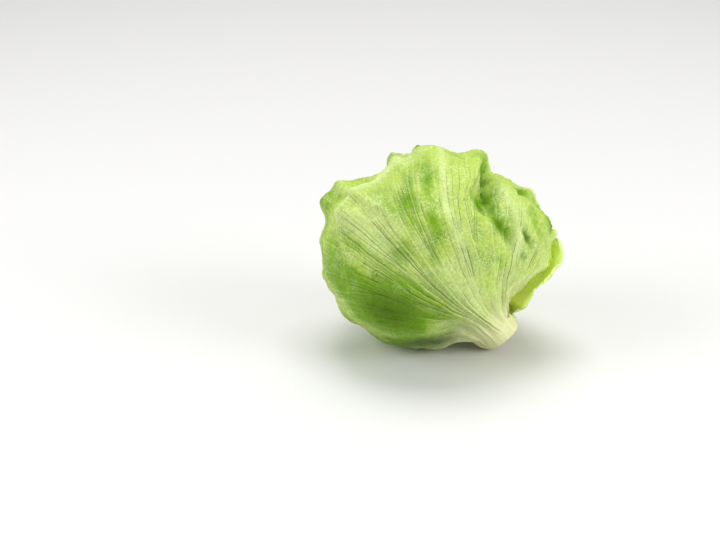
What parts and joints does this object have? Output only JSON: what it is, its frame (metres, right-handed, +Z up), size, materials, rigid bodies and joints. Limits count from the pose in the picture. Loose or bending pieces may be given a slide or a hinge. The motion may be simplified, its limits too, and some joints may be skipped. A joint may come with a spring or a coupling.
{
  "type": "iceberg lettuce",
  "caption": "Whole head of iceberg lettuce lying on its side: a dense ball of green wrapper leaves folded round a pale inner head on a short cut stem.",
  "frame": {"origin": "middle of the small flat spot that the head rests on, straight under the middle of the ball of leaves", "axes": "+X to the right along the head's longest side, towards the end where the stem is, +Y to the back, away from the camera, +Z up from the surface"},
  "size_m": [0.1913, 0.1594, 0.1538],
  "materials": {
    "front_leaf": "fresh leaf, satin, pale veins",
    "back_leaf": "fresh leaf, satin, pale veins",
    "left_leaf": "fresh leaf, satin",
    "top_leaf": "fresh leaf, satin",
    "lower_leaf": "fresh leaf, satin",
    "inner_head": "pale folded leaves, satin",
    "stem": "pale cut stem, matt"
  },
  "bodies": {
    "root": {"front_leaf": "front_leaf", "back_leaf": "back_leaf", "left_leaf": "left_leaf", "top_leaf": "top_leaf", "lower_leaf": "lower_leaf", "inner_head": "inner_head", "stem": "stem"}
  },
  "joints": []
}
